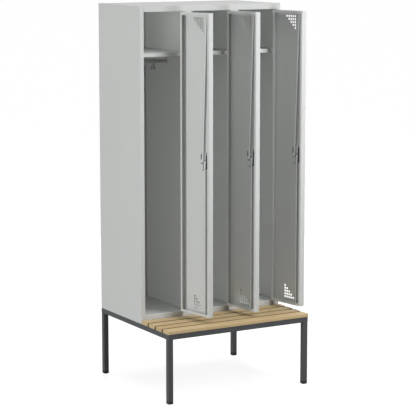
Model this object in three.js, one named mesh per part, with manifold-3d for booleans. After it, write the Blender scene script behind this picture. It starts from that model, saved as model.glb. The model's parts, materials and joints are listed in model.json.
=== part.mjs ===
// Three-compartment clothes locker on a bench underframe, with its doors standing open.
// Millimetres, +Z up, the doors face -Y. The origin is on the floor, in the middle of the unit's box.
import * as THREE from 'three';
import { mergeGeometries, mergeVertices } from 'three/addons/utils/BufferGeometryUtils.js';
import Module from 'manifold-3d';

// Overall sizes
const unitWidth = 900;
const cabinetDepth = 495;
const cabinetHeight = 1755;
const frameHeight = 390;
const benchReach = 310; // from the cabinet's front to the front of the underframe
const compartmentCount = 3;

// Sheet metal of the cabinet
const sheet = 1;
const bendRadius = 1.2; // inside a fold
const sideFlange = 25;
const postFace = 47;
const hingeReturn = 20;
const stopReturn = 32; // the door's free edge closes into this rebate
const stopLip = 12;
const topFlange = 33;
const floorFlange = 47;
const flangeLip = 7;
const rearLip = 15;

// Shelf, coat rail and hooks
const shelfDrop = 258; // top of the cabinet down to the shelf
const shelfSetback = 34;
const shelfLip = 22;
const shelfReturn = 12;
const railDrop = 62; // shelf top down to the rail's centre
const railDepthShare = 0.505; // of the cabinet's depth
const railRadius = 9;
const railWall = 1.5;
const railCupRadius = 15;
const railCupThickness = 3;

// Fits
const seatGap = 0.3;
const overrun = 5; // how far a cut runs past what it cuts
const weldDepth = 0.3; // how far welded sheets run into each other

// Square tube of the underframe
const tube = 30;
const tubeWall = 2;
const tubeEdge = 3;
const footLift = 18; // floor up to the lower end of a leg

// Doors, measured on the closed leaf
const doorDepth = 30;
const doorLip = 15;
const hingeClearance = 2.5;
const freeClearance = 3.5;
const endClearance = 3;
const openAngle = THREE.MathUtils.degToRad(100);
const knuckleRadius = 3;
const axisInset = 1; // hinge axis to the post's edge

// Lock, measured from the leaf's free edge and lower end
const lockSetback = 67;
const lockHeight = 860;
const crankRadius = 13;
const crankRest = Math.PI / 4; // the crank pins stand this far from level when unlocked
const crankPinRadius = 3;
const spindleWidth = 8;
const camFloor = 6.3; // leaf's outer face to the cam
const camThickness = 3;
const barThickness = 3;
const barWidth = 16;
const barPlay = 0.7;
const upperBarTilt = THREE.MathUtils.degToRad(2.2);
const barSetback = 1; // retracted bar tip beyond the door's end

const arcSegments = 3;
const roundSegments = 20;

const wasm = await Module();
wasm.setup();

function toSolid(geometry) {
  const bare = geometry.clone();
  bare.deleteAttribute('normal');
  bare.deleteAttribute('uv');
  const welded = mergeVertices(bare);
  return new wasm.Manifold(new wasm.Mesh({
    numProp: 3,
    vertProperties: new Float32Array(welded.attributes.position.array),
    triVerts: new Uint32Array(welded.index.array),
  }));
}

function toGeometry(solid) {
  const mesh = solid.getMesh();
  const geometry = new THREE.BufferGeometry();
  geometry.setAttribute('position', new THREE.BufferAttribute(mesh.vertProperties, 3));
  geometry.setIndex(new THREE.BufferAttribute(mesh.triVerts, 1));
  geometry.computeVertexNormals();
  return geometry;
}

// What two or more solids have in common
function overlap(pieces) {
  return toGeometry(pieces.map(toSolid).reduce((shared, piece) => shared.intersect(piece)));
}

// Joins the pieces of one sub-part and then takes the cuts out of them.
function weld(pieces, cuts = []) {
  const body = pieces.map(toSolid).reduce((sum, piece) => sum.add(piece));
  return toGeometry(cuts.map(toSolid).reduce((rest, cut) => rest.subtract(cut), body));
}

function box(x0, x1, y0, y1, z0, z1) {
  const block = new THREE.BoxGeometry(x1 - x0, y1 - y0, z1 - z0);
  return block.translate((x0 + x1) / 2, (y0 + y1) / 2, (z0 + z1) / 2);
}

function uprightCylinder(radius, x, y, z0, z1, segments = roundSegments) {
  const round = new THREE.CylinderGeometry(radius, radius, z1 - z0, segments);
  return round.rotateX(Math.PI / 2).translate(x, y, (z0 + z1) / 2);
}

function levelCylinder(radius, x, z, y0, y1, segments = roundSegments) {
  const round = new THREE.CylinderGeometry(radius, radius, y1 - y0, segments);
  return round.translate(x, (y0 + y1) / 2, z);
}

// The three extrusions take a shape drawn across their axis: (x, y), (y, z) and (x, z).
function extrudeUp(shape, z0, z1) {
  const options = { depth: z1 - z0, bevelEnabled: false };
  return new THREE.ExtrudeGeometry(shape, options).translate(0, 0, z0);
}

function extrudeAcross(shape, x0, x1) {
  const basis = new THREE.Matrix4().makeBasis(
    new THREE.Vector3(0, 1, 0), new THREE.Vector3(0, 0, 1), new THREE.Vector3(1, 0, 0));
  const options = { depth: x1 - x0, bevelEnabled: false };
  return new THREE.ExtrudeGeometry(shape, options).applyMatrix4(basis).translate(x0, 0, 0);
}

function extrudeBack(shape, y0, y1, bevel = 0) {
  const basis = new THREE.Matrix4().makeBasis(
    new THREE.Vector3(1, 0, 0), new THREE.Vector3(0, 0, 1), new THREE.Vector3(0, -1, 0));
  const options = {
    depth: y1 - y0 - 2 * bevel, bevelEnabled: bevel > 0,
    bevelThickness: bevel, bevelSize: bevel, bevelOffset: -bevel, bevelSegments: 2,
  };
  return new THREE.ExtrudeGeometry(shape, options).applyMatrix4(basis).translate(0, y1 - bevel, 0);
}

function arc(centre, start, sweep) {
  const points = [];
  for (let i = 0; i <= arcSegments; i += 1) {
    points.push(start.clone().rotateAround(new THREE.Vector2(), (sweep * i) / arcSegments).add(centre));
  }
  return points;
}

function turn(before, after) {
  return Math.atan2(before.cross(after), before.dot(after));
}

// Closed outline whose corners are rounded off with one radius.
function roundedOutline(corners, radius) {
  const points = corners.map(([x, y]) => new THREE.Vector2(x, y));
  return points.flatMap((corner, i) => {
    const before = corner.clone().sub(points.at(i - 1)).normalize();
    const after = points[(i + 1) % points.length].clone().sub(corner).normalize();
    const angle = turn(before, after);
    const start = new THREE.Vector2(before.y, -before.x).multiplyScalar(radius * Math.sign(angle));
    const centre = corner.clone()
      .addScaledVector(before, -radius * Math.tan(Math.abs(angle) / 2)).sub(start);
    return arc(centre, start, angle);
  });
}

function rectangle(x0, x1, y0, y1) {
  return [[x0, y0], [x1, y0], [x1, y1], [x0, y1]];
}

// Section of a sheet folded along a centre line: both faces follow every bend.
function foldedSection(line, thickness = sheet, insideRadius = bendRadius) {
  const points = line.map(([x, y]) => new THREE.Vector2(x, y));
  const middle = insideRadius + thickness / 2;
  const left = [];
  const right = [];
  points.forEach((point, i) => {
    const before = i > 0 ? point.clone().sub(points[i - 1]).normalize() : null;
    const after = i < points.length - 1 ? points[i + 1].clone().sub(point).normalize() : null;
    if (!before || !after) {
      const along = before ?? after;
      const across = new THREE.Vector2(-along.y, along.x).multiplyScalar(thickness / 2);
      left.push(point.clone().add(across));
      right.push(point.clone().sub(across));
      return;
    }
    const angle = turn(before, after);
    const side = Math.sign(angle);
    const outward = new THREE.Vector2(before.y, -before.x).multiplyScalar(side);
    const centre = point.clone()
      .addScaledVector(before, -middle * Math.tan(Math.abs(angle) / 2))
      .addScaledVector(outward, -middle);
    const inner = arc(centre, outward.clone().multiplyScalar(insideRadius), angle);
    const outer = arc(centre, outward.clone().multiplyScalar(insideRadius + thickness), angle);
    left.push(...(side > 0 ? inner : outer));
    right.push(...(side > 0 ? outer : inner));
  });
  return new THREE.Shape([...right, ...left.reverse()]);
}

const unit = new THREE.Group();
unit.name = 'locker_with_bench';

const finishes = {
  bodyPaint: new THREE.MeshStandardMaterial({ color: 0xc6c8c5, roughness: 0.5, metalness: 0.1 }),
  framePaint: new THREE.MeshStandardMaterial({ color: 0x45484b, roughness: 0.55, metalness: 0.1 }),
  wood: new THREE.MeshStandardMaterial({ color: 0xd8b684, roughness: 0.6, metalness: 0 }),
  zinc: new THREE.MeshStandardMaterial({ color: 0xb9bbba, roughness: 0.35, metalness: 0.9 }),
  plastic: new THREE.MeshStandardMaterial({ color: 0x26282a, roughness: 0.6, metalness: 0 }),
};

function addPart(group, name, geometry, finish) {
  const mesh = new THREE.Mesh(geometry, finishes[finish].clone());
  mesh.name = name;
  group.add(mesh);
}

// Derived places shared by several parts
const half = sheet / 2;
const frontFace = -benchReach;
const cabinetTop = frameHeight + cabinetHeight;
const plateTop = cabinetTop - sheet; // underside of the top plate
const floorTop = frameHeight + sheet;
const openingBottom = frameHeight + floorFlange;
const openingTop = cabinetTop - topFlange;
const openingWidth =
  (unitWidth - 2 * sideFlange - (compartmentCount - 1) * postFace) / compartmentCount;
const openingPitch = openingWidth + postFace;
const backFace = cabinetDepth - sheet; // front face of the back panel
const plateRear = backFace - sheet - bendRadius; // plates stop short of the rear lips' folds
const doorBottom = openingBottom + endClearance;
const doorTop = openingTop - endClearance;
const doorWidth = openingWidth - hingeClearance - freeClearance;
const openings = Array.from({ length: compartmentCount }, (_, i) => {
  const left = sideFlange + i * openingPitch;
  return { left, right: left + openingWidth, number: i + 1 };
});

// Square tube: its outline, and the bore that makes it hollow
function tubeOutline(u, v, inset = 0) {
  const reach = tube / 2 - inset;
  const corners = rectangle(u - reach, u + reach, v - reach, v + reach);
  return new THREE.Shape(roundedOutline(corners, tubeEdge - inset / 2));
}

function openTube(u, v) {
  const outline = tubeOutline(u, v);
  outline.holes.push(new THREE.Path(tubeOutline(u, v, tubeWall).getPoints()));
  return outline;
}

// One welded side of the underframe: two legs and the rail between them, hollow throughout
function addSideFrame(name, x) {
  const railLevel = frameHeight - tube / 2;
  const legs = [frontFace + tube / 2, cabinetDepth - tube / 2];
  const outside = legs.map((y) => extrudeUp(tubeOutline(x, y), footLift, frameHeight));
  outside.push(extrudeBack(tubeOutline(x, railLevel), frontFace, cabinetDepth));
  const inside = legs.map((y) =>
    extrudeUp(tubeOutline(x, y, tubeWall), footLift - overrun, frameHeight - tubeWall));
  inside.push(extrudeBack(tubeOutline(x, railLevel, tubeWall),
    frontFace + tubeWall, cabinetDepth - tubeWall));
  addPart(unit, name, weld(outside, inside), 'framePaint');
}

// Plastic end cap: a plug inside the leg over a foot whose lower edges are rounded both ways
function addGlide(name, x, y) {
  const plugHeight = 24;
  const soleRadius = 8;
  const capProfile = (u) => new THREE.Shape(roundedOutline(
    rectangle(u - tube / 2, u + tube / 2, 0, 2 * footLift), soleRadius));
  const cap = overlap([
    extrudeUp(tubeOutline(x, y), 0, footLift),
    extrudeBack(capProfile(x), y - tube, y + tube),
    extrudeAcross(capProfile(y), x - tube, x + tube),
  ]);
  const plug = tubeOutline(x, y, tubeWall + seatGap);
  const glide = weld([cap, extrudeUp(plug, footLift - weldDepth, footLift + plugHeight)]);
  addPart(unit, name, glide, 'plastic');
}

function addUnderframe() {
  const railLevel = frameHeight - tube / 2;
  const sides = { left: tube / 2, right: unitWidth - tube / 2 };
  const ends = { front: frontFace + tube / 2, rear: cabinetDepth - tube / 2 };
  for (const [side, x] of Object.entries(sides)) {
    addSideFrame(`side_frame_${side}`, x);
    for (const [end, y] of Object.entries(ends)) addGlide(`foot_glide_${end}_${side}`, x, y);
  }
  for (const [end, y] of Object.entries(ends)) {
    const rail = extrudeAcross(openTube(y, railLevel), tube, unitWidth - tube);
    addPart(unit, `${end}_rail`, rail, 'framePaint');
  }
  const middle = extrudeBack(openTube(unitWidth / 2, railLevel),
    frontFace + tube, cabinetDepth - tube);
  addPart(unit, 'middle_rail', middle, 'framePaint');
}

function addSlats() {
  const slatCount = 4;
  const slatWidth = 65;
  const slatThickness = 20;
  const slatEdge = 3;
  const frontOverhang = 3.8;
  const cabinetGap = 6.7;
  const pitch = (benchReach + frontOverhang - cabinetGap - slatWidth) / (slatCount - 1);
  for (let i = 0; i < slatCount; i += 1) {
    const front = frontFace - frontOverhang + i * pitch;
    const outline = roundedOutline(
      rectangle(front, front + slatWidth, frameHeight, frameHeight + slatThickness), slatEdge);
    addPart(unit, `slat_${i + 1}`, extrudeAcross(new THREE.Shape(outline), 0, unitWidth), 'wood');
  }
}

// Pin hinge of three knuckles: the outer two are welded to the post, the middle one to the door.
const hinge = {
  height: 70, middleStart: 20.4, middleEnd: 49.6, leafReach: 17, leafThickness: 1.2,
  pinRadius: 1.5, boreRadius: 1.85, headRadius: 2.6, headHeight: 1.5, endDistance: 150,
  segments: 16,
};
const hingeLevels = {
  lower: doorBottom + hinge.endDistance, upper: doorTop - hinge.endDistance - hinge.height,
};

function knuckle(x, direction, z0, z1) {
  const reach = x + direction * hinge.leafReach;
  return [
    uprightCylinder(knuckleRadius, x, 0, z0, z1, hinge.segments),
    box(Math.min(x, reach), Math.max(x, reach), knuckleRadius - hinge.leafThickness,
      knuckleRadius + weldDepth, z0, z1),
  ];
}

function hingeBores(x) {
  return Object.values(hingeLevels).map((z) =>
    uprightCylinder(hinge.boreRadius, x, 0, z - overrun, z + hinge.height + overrun, hinge.segments));
}

// Fixed knuckles beside one opening, drawn in the cabinet's frame
function fixedKnuckles(axisX) {
  const pieces = Object.values(hingeLevels).flatMap((z) => [
    ...knuckle(axisX, 1, z, z + hinge.middleStart - seatGap),
    ...knuckle(axisX, 1, z + hinge.middleEnd + seatGap, z + hinge.height),
  ]);
  const place = (piece) => piece.translate(0, -knuckleRadius, 0);
  return { pieces: pieces.map(place), bores: hingeBores(axisX).map(place) };
}

function hingeAxis(opening) {
  return opening.right - axisInset;
}

function addHingePins() {
  for (const opening of openings) {
    for (const [end, z] of Object.entries(hingeLevels)) {
      const top = z + hinge.height + seatGap;
      const axis = [hingeAxis(opening), -knuckleRadius];
      const pin = weld([
        uprightCylinder(hinge.pinRadius, ...axis, z, top + weldDepth, hinge.segments),
        uprightCylinder(hinge.headRadius, ...axis, top, top + hinge.headHeight, hinge.segments),
      ]);
      addPart(unit, `hinge_pin_${end}_${opening.number}`, pin, 'zinc');
    }
  }
}

// Cabinet sides: wall, front flange, return, and on the lock side the rebate the door closes into
function addSidePanels() {
  const rear = backFace - half;
  const left = foldedSection([
    [sheet + rearLip, rear], [half, rear], [half, half], [sideFlange - half, half],
    [sideFlange - half, stopReturn - half], [sideFlange + stopLip, stopReturn - half],
  ]);
  addPart(unit, 'side_panel_left', extrudeUp(left, frameHeight, plateTop), 'bodyPaint');

  const inner = unitWidth - sideFlange + half;
  const right = foldedSection([
    [inner, hingeReturn], [inner, half], [unitWidth - half, half],
    [unitWidth - half, rear], [unitWidth - sheet - rearLip, rear],
  ]);
  const knuckles = fixedKnuckles(hingeAxis(openings.at(-1)));
  const panel = weld(
    [extrudeUp(right, frameHeight, plateTop), ...knuckles.pieces], knuckles.bores);
  addPart(unit, 'side_panel_right', panel, 'bodyPaint');
}

// Front posts between the doors, one folded strip each, notched behind the top and floor flanges
function addPosts() {
  for (const opening of openings.slice(0, -1)) {
    const left = opening.right + half;
    const right = opening.right + postFace - half;
    const section = foldedSection([
      [left, hingeReturn], [left, half], [right, half],
      [right, stopReturn - half], [right + half + stopLip, stopReturn - half],
    ]);
    const knuckles = fixedKnuckles(hingeAxis(opening));
    const notchDepth = sheet + flangeLip + seatGap;
    const span = [left - overrun, right + overrun, -overrun, notchDepth];
    const post = weld([extrudeUp(section, floorTop, plateTop), ...knuckles.pieces], [
      ...knuckles.bores,
      box(...span, floorTop - overrun, openingBottom),
      box(...span, openingTop, plateTop + overrun),
    ]);
    addPart(unit, `post_${opening.number}`, post, 'bodyPaint');
  }
}

function partitionPlace(opening) {
  return opening.right + postFace / 2;
}

function addPartitions() {
  const fold = 12;
  for (const opening of openings.slice(0, -1)) {
    const x = partitionPlace(opening);
    const front = sheet + half;
    const rear = backFace - half;
    const section = foldedSection([
      [x + fold, front], [x, front], [x, rear], [x + fold, rear],
    ]);
    const notchDepth = sheet + flangeLip + seatGap;
    const span = [x - overrun, x + fold + overrun, 0, notchDepth];
    const partition = weld([extrudeUp(section, floorTop, plateTop)], [
      box(...span, floorTop - overrun, openingBottom + seatGap),
      box(...span, openingTop - seatGap, plateTop + overrun),
    ]);
    addPart(unit, `partition_${opening.number}`, partition, 'bodyPaint');
  }
}

// Plates above and below: a front flange with a safe-edge lip turned in along the opening
function addTopAndFloor() {
  const top = foldedSection([
    [sheet + flangeLip, openingTop + half], [half, openingTop + half],
    [half, cabinetTop - half], [cabinetDepth, cabinetTop - half],
  ]);
  const ends = [[-overrun, sideFlange], [unitWidth - sideFlange, unitWidth + overrun]];
  const topPanel = weld([extrudeAcross(top, 0, unitWidth)], ends.map(([x0, x1]) =>
    box(x0, x1, -overrun, sheet + flangeLip + overrun, openingTop - overrun, plateTop)));
  addPart(unit, 'top_panel', topPanel, 'bodyPaint');

  const floor = foldedSection([
    [sheet + flangeLip, openingBottom - half], [half, openingBottom - half],
    [half, frameHeight + half], [plateRear, frameHeight + half],
  ]);
  const corner = stopReturn + seatGap;
  const inner = sideFlange + stopLip + seatGap;
  const cuts = ends.map(([x0, x1]) =>
    box(x0, x1, -overrun, corner, frameHeight - overrun, openingBottom + overrun));
  cuts.push(box(0, inner, sheet, corner, frameHeight - overrun, floorTop + bendRadius));
  const floorPanel = weld([extrudeAcross(floor, sheet, unitWidth - sheet)], cuts);
  addPart(unit, 'floor_panel', floorPanel, 'bodyPaint');

  const back = box(0, unitWidth, backFace, cabinetDepth, frameHeight, plateTop);
  addPart(unit, 'back_panel', back, 'bodyPaint');
}

// Clear space of one compartment between its walls
function compartment(opening) {
  const first = opening.number === 1;
  const last = opening.number === compartmentCount;
  return {
    left: first ? sheet : partitionPlace(opening) - openingPitch + half,
    right: last ? unitWidth - sheet : partitionPlace(opening) - half,
  };
}

function addShelf(opening, room) {
  const level = cabinetTop - shelfDrop;
  const front = shelfSetback + half;
  const section = foldedSection([
    [front + half + shelfReturn, level - shelfLip + half], [front, level - shelfLip + half],
    [front, level - half], [plateRear, level - half],
  ]);
  const sideDepth = [shelfSetback + sheet + shelfReturn + seatGap, plateRear];
  const shelf = weld([
    extrudeAcross(section, room.left, room.right),
    box(room.left, room.left + sheet, ...sideDepth, level - shelfLip, level - weldDepth),
    box(room.right - sheet, room.right, ...sideDepth, level - shelfLip, level - weldDepth),
  ]);
  addPart(unit, `shelf_${opening.number}`, shelf, 'bodyPaint');
}

function addCoatRail(opening, room, railY, railZ) {
  const length = room.right - room.left;
  const profile = [
    [railRadius - railWall, 0], [railCupRadius, 0], [railCupRadius, railCupThickness],
    [railRadius, railCupThickness], [railRadius, length - railCupThickness],
    [railCupRadius, length - railCupThickness], [railCupRadius, length],
    [railRadius - railWall, length], [railRadius - railWall, 0],
  ].map(([r, t]) => new THREE.Vector2(r, t));
  const rail = new THREE.LatheGeometry(profile, roundSegments)
    .rotateZ(-Math.PI / 2).translate(room.left, railY, railZ);
  addPart(unit, `coat_rail_${opening.number}`, rail, 'zinc');
}

// Double coat hook: a ring round the rail and a bent arm to the front and the back
function addHook(name, x, railY, railZ) {
  const hookWidth = 12;
  const ringWall = 3;
  const armThickness = 3;
  const armBend = 7;
  const armReach = 20;
  const armDrop = 44;
  const armRise = 15;
  const inner = railRadius + seatGap;
  const ring = new THREE.Shape();
  ring.absarc(0, 0, inner + ringWall, 0, 2 * Math.PI);
  ring.holes.push(new THREE.Path().absarc(0, 0, inner, 0, 2 * Math.PI, true));
  const ringPoints = ring.extractPoints(roundSegments / 2);
  const ringShape = new THREE.Shape(ringPoints.shape);
  ringShape.holes.push(new THREE.Path(ringPoints.holes[0]));
  const stem = inner + ringWall / 2;
  const armCentre = armThickness / 2 - weldDepth; // the two arms are welded back to back
  const arms = [-1, 1].map((side) => foldedSection([
    [side * armCentre, -stem], [side * armCentre, -armDrop],
    [side * armReach, -armDrop], [side * armReach, -armDrop + armRise],
  ], armThickness, armBend));
  const hook = weld([ringShape, ...arms].map((shape) => extrudeAcross(shape, 0, hookWidth)));
  addPart(unit, name, hook.translate(x - hookWidth / 2, railY, railZ), 'zinc');
}

function addCompartmentFittings() {
  const hookShares = [0.32, 0.72]; // of the clear width
  const railY = cabinetDepth * railDepthShare;
  const railZ = cabinetTop - shelfDrop - railDrop;
  for (const opening of openings) {
    const room = compartment(opening);
    addShelf(opening, room);
    addCoatRail(opening, room, railY, railZ);
    hookShares.forEach((share, i) => {
      const x = room.left + share * (room.right - room.left);
      addHook(`coat_hook_${opening.number}_${i + 1}`, x, railY, railZ);
    });
  }
}

// Doors are drawn closed about their hinge axis and stood open by turning their group.
// across() runs from the hinge edge to the free edge, deep() from the outer face inwards.
const across = (distance) => axisInset - hingeClearance - distance;
const deep = (distance) => knuckleRadius + distance;
const lockLevel = doorBottom + lockHeight;
const lockX = across(doorWidth - lockSetback);
const crankLevel = crankRadius * Math.cos(crankRest);
const barFloor = camFloor + camThickness + seatGap;
const barTop = doorTop + barSetback;
const barFoot = doorBottom - barSetback;

function perforation() {
  const rows = 5;
  const hole = 11;
  const pitchAcross = 17;
  const pitchUp = 16.4;
  const endMargin = 32;
  const holes = [];
  const middle = (rows - 1) / 2;
  const cut = (column, z) => {
    const x = across(doorWidth / 2 + (column - middle) * pitchAcross);
    holes.push(box(x - hole / 2, x + hole / 2, deep(-overrun), deep(sheet + overrun),
      z - hole / 2, z + hole / 2));
  };
  for (let row = 0; row < rows; row += 1) {
    for (let column = 0; column < rows - row; column += 1) {
      cut(column, doorBottom + endMargin + row * pitchUp);
      cut(rows - 1 - column, doorTop - endMargin - row * pitchUp);
    }
  }
  return mergeGeometries(holes);
}

function barSlot(x, z) {
  const reach = barWidth / 2 + barPlay;
  return box(x - reach, x + reach, deep(barFloor - barPlay), deep(barFloor + barThickness + barPlay),
    z - overrun, z + overrun);
}

function upperBarX(z) {
  return lockX + crankLevel - Math.tan(upperBarTilt) * (z - lockLevel + crankLevel);
}

function doorLeaf() {
  const spindleHole = 7;
  const inner = doorDepth - half;
  const section = foldedSection([
    [across(doorLip), deep(inner)], [across(half), deep(inner)], [across(half), deep(half)],
    [across(doorWidth - half), deep(half)], [across(doorWidth - half), deep(inner)],
    [across(doorWidth - doorLip), deep(inner)],
  ]);
  const edge = sheet - weldDepth;
  const width = [across(doorWidth - edge), across(edge)];
  const ends = [[doorBottom, 1], [doorTop, -1]].flatMap(([z, inward]) => {
    const plate = [z, z + inward * sheet].sort((a, b) => a - b);
    const lip = [z, z + inward * doorLip].sort((a, b) => a - b);
    return [
      box(...width, deep(edge), deep(doorDepth - edge), ...plate),
      box(...width, deep(doorDepth - sheet), deep(doorDepth), ...lip),
    ];
  });
  const middles = Object.values(hingeLevels).flatMap((z) =>
    knuckle(0, -1, z + hinge.middleStart, z + hinge.middleEnd));
  return weld([extrudeUp(section, doorBottom, doorTop), ...ends, ...middles], [
    perforation(), ...hingeBores(0),
    levelCylinder(spindleHole, lockX, lockLevel, deep(-overrun), deep(sheet + overrun)),
    barSlot(upperBarX(doorTop), doorTop), barSlot(lockX - crankLevel, doorBottom),
  ]);
}

// Lock case: a screwed plate, the case on it, and a boss under the cam
function lockBody() {
  const plate = { width: 44, height: 112, thickness: 2, corner: 4 };
  const body = { width: 38, height: 62, corner: 6 };
  const bossRadius = 11;
  const caseGap = 1.5; // top of the case to the cam
  const bore = 6.4;
  const outline = ({ width, height, corner }) => new THREE.Shape(roundedOutline(rectangle(
    lockX - width / 2, lockX + width / 2, lockLevel - height / 2, lockLevel + height / 2), corner));
  const base = deep(sheet + seatGap);
  return weld([
    extrudeBack(outline(plate), base, base + plate.thickness),
    extrudeBack(outline(body), base + weldDepth, deep(camFloor - caseGap)),
    levelCylinder(bossRadius, lockX, lockLevel, base + weldDepth, deep(camFloor - seatGap)),
  ], [levelCylinder(bore, lockX, lockLevel, deep(-overrun), deep(camFloor + overrun))]);
}

// Turning handle outside, with the square spindle that runs through to the cam
function turnHandle() {
  const roseRadius = 24;
  const roseThickness = 4;
  const grip = { length: 66, width: 15, rise: 20, corner: 7, bevel: 2.5 };
  const roseFace = deep(-seatGap - roseThickness);
  const gripOutline = roundedOutline(rectangle(
    lockX - grip.width / 2, lockX + grip.width / 2,
    lockLevel - grip.length / 2, lockLevel + grip.length / 2), grip.corner);
  const reach = spindleWidth / 2;
  return weld([
    levelCylinder(roseRadius, lockX, lockLevel, roseFace, deep(-seatGap), 2 * roundSegments),
    extrudeBack(new THREE.Shape(gripOutline), roseFace - grip.rise, roseFace + grip.bevel, grip.bevel),
    box(lockX - reach, lockX + reach, roseFace + sheet, deep(camFloor + camThickness),
      lockLevel - reach, lockLevel + reach),
  ]);
}

// Crank arm on the spindle; the pins near its two ends drive the locking bars
function lockCam() {
  const arm = { length: 50, width: 25, corner: 5 };
  const pinStand = 3; // crank pins above the bars
  const pinTop = barFloor + barThickness + pinStand;
  const reach = spindleWidth / 2 + seatGap;
  const centre = new THREE.Vector2(lockX, lockLevel);
  const corners = rectangle(-arm.length / 2, arm.length / 2, -arm.width / 2, arm.width / 2)
    .map(([x, z]) => new THREE.Vector2(x, z).add(centre).rotateAround(centre, -crankRest).toArray());
  const plate = extrudeBack(new THREE.Shape(roundedOutline(corners, arm.corner)),
    deep(camFloor), deep(camFloor + camThickness));
  const pins = [1, -1].map((side) => levelCylinder(crankPinRadius,
    lockX + side * crankLevel, lockLevel - side * crankLevel,
    deep(camFloor + sheet), deep(pinTop)));
  return weld([plate, ...pins], [
    box(lockX - reach, lockX + reach, deep(camFloor - overrun), deep(pinTop + overrun),
      lockLevel - reach, lockLevel + reach),
  ]);
}

// Flat locking bar. side is 1 for the upper bar, on the hinge side of the cam, and -1 for the lower.
// Its level slot lets the crank pin swing while the bar only slides along itself.
function lockingBar(side) {
  const slotPlay = 0.95;
  const yokeWall = 3.6;
  const yokeSlant = side > 0 ? 15 : 0;
  const yokeEnd = 12;
  const shoulder = 24;
  const corner = 3;
  const drift = 1.3;
  const pinLevel = lockLevel - side * crankLevel;
  const slotHalf = crankPinRadius + slotPlay;
  const near = crankLevel - slotHalf;
  const far = crankRadius + slotHalf + drift / 2;
  const middle = side > 0 ? upperBarX : () => lockX - crankLevel;
  const tip = side > 0 ? barTop : barFoot;
  const neck = pinLevel + side * shoulder;
  const at = (distance) => lockX + side * distance;
  const outline = [
    [at(far + yokeWall), pinLevel - side * yokeEnd],
    [at(near - yokeWall), pinLevel - side * (yokeEnd + yokeSlant)],
    [at(near - yokeWall), pinLevel + side * (shoulder - yokeEnd)],
    [middle(neck) - side * barWidth / 2, neck],
    [middle(tip) - side * barWidth / 2, tip],
    [middle(tip) + side * barWidth / 2, tip],
    [middle(neck) + side * barWidth / 2, neck],
    [at(far + yokeWall), pinLevel + side * (shoulder - yokeEnd)],
  ];
  const bar = new THREE.Shape(roundedOutline(outline, corner));
  bar.holes.push(new THREE.Path(roundedOutline(
    rectangle(...[at(near), at(far)].sort((a, b) => a - b), pinLevel - slotHalf, pinLevel + slotHalf),
    corner)));
  return extrudeBack(bar, deep(barFloor), deep(barFloor + barThickness));
}

function addDoors() {
  for (const opening of openings) {
    const door = new THREE.Group();
    door.name = `door_${opening.number}`;
    door.position.set(hingeAxis(opening), -knuckleRadius, 0);
    door.rotation.z = openAngle;
    unit.add(door);
    const tag = opening.number;
    addPart(door, `door_leaf_${tag}`, doorLeaf(), 'bodyPaint');
    addPart(door, `lock_body_${tag}`, lockBody(), 'zinc');
    addPart(door, `turn_handle_${tag}`, turnHandle(), 'plastic');
    addPart(door, `lock_cam_${tag}`, lockCam(), 'zinc');
    addPart(door, `upper_bar_${tag}`, lockingBar(1), 'zinc');
    addPart(door, `lower_bar_${tag}`, lockingBar(-1), 'zinc');
  }
}

addUnderframe();
addSlats();
addSidePanels();
addPosts();
addPartitions();
addTopAndFloor();
addCompartmentFittings();
addHingePins();
addDoors();

const bounds = new THREE.Box3().setFromObject(unit, true);
const centre = bounds.getCenter(new THREE.Vector3());
unit.position.set(-centre.x, -centre.y, -bounds.min.z);
unit.updateMatrixWorld(true);

export default unit;
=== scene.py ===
import bpy
import bmesh
import json
import math
from mathutils import Matrix, Vector


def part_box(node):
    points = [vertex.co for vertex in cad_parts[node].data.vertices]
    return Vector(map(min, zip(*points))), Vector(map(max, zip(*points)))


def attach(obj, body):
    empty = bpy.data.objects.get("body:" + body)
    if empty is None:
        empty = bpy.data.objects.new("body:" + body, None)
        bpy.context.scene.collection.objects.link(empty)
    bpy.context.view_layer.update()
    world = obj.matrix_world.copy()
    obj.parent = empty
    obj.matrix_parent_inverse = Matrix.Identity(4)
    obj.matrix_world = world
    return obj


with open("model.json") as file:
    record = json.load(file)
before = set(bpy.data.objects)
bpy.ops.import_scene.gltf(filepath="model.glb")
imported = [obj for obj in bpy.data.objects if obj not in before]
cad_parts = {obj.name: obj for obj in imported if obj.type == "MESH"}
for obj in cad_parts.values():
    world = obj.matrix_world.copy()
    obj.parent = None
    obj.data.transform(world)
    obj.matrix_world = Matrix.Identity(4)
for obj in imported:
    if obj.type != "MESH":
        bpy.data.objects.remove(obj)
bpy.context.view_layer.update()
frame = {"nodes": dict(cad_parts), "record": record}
nodes = frame["nodes"]
print("frame loaded:", len(nodes), "nodes")

# the locker's own millimetres start at the cabinet's left side, at its front and on the floor
cabinetDepth = 495
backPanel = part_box("back_panel")
startX = backPanel[0][0]
startY = backPanel[1][1] - cabinetDepth / 1000
doorNumbers = (1, 2, 3)


def place(x, y, z):
    return Vector((startX + x / 1000, startY + y / 1000, z / 1000))


def linear(red, green, blue):  # from screen colours, 0 to 255
    steps = [c / 255 for c in (red, green, blue)]
    return [c / 12.92 if c <= 0.04045 else ((c + 0.055) / 1.055) ** 2.4 for c in steps] + [1.0]


# camera: where the photograph was taken from, in the locker's millimetres, degrees and pixels
shot = {"x": -4343.4, "y": -8225.1, "z": 2516.7, "azimuth": -30.112, "down": 9.011,
        "focal": 1712.6, "frame": 416, "sensorWidth": 36, "farthest": 400}


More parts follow.
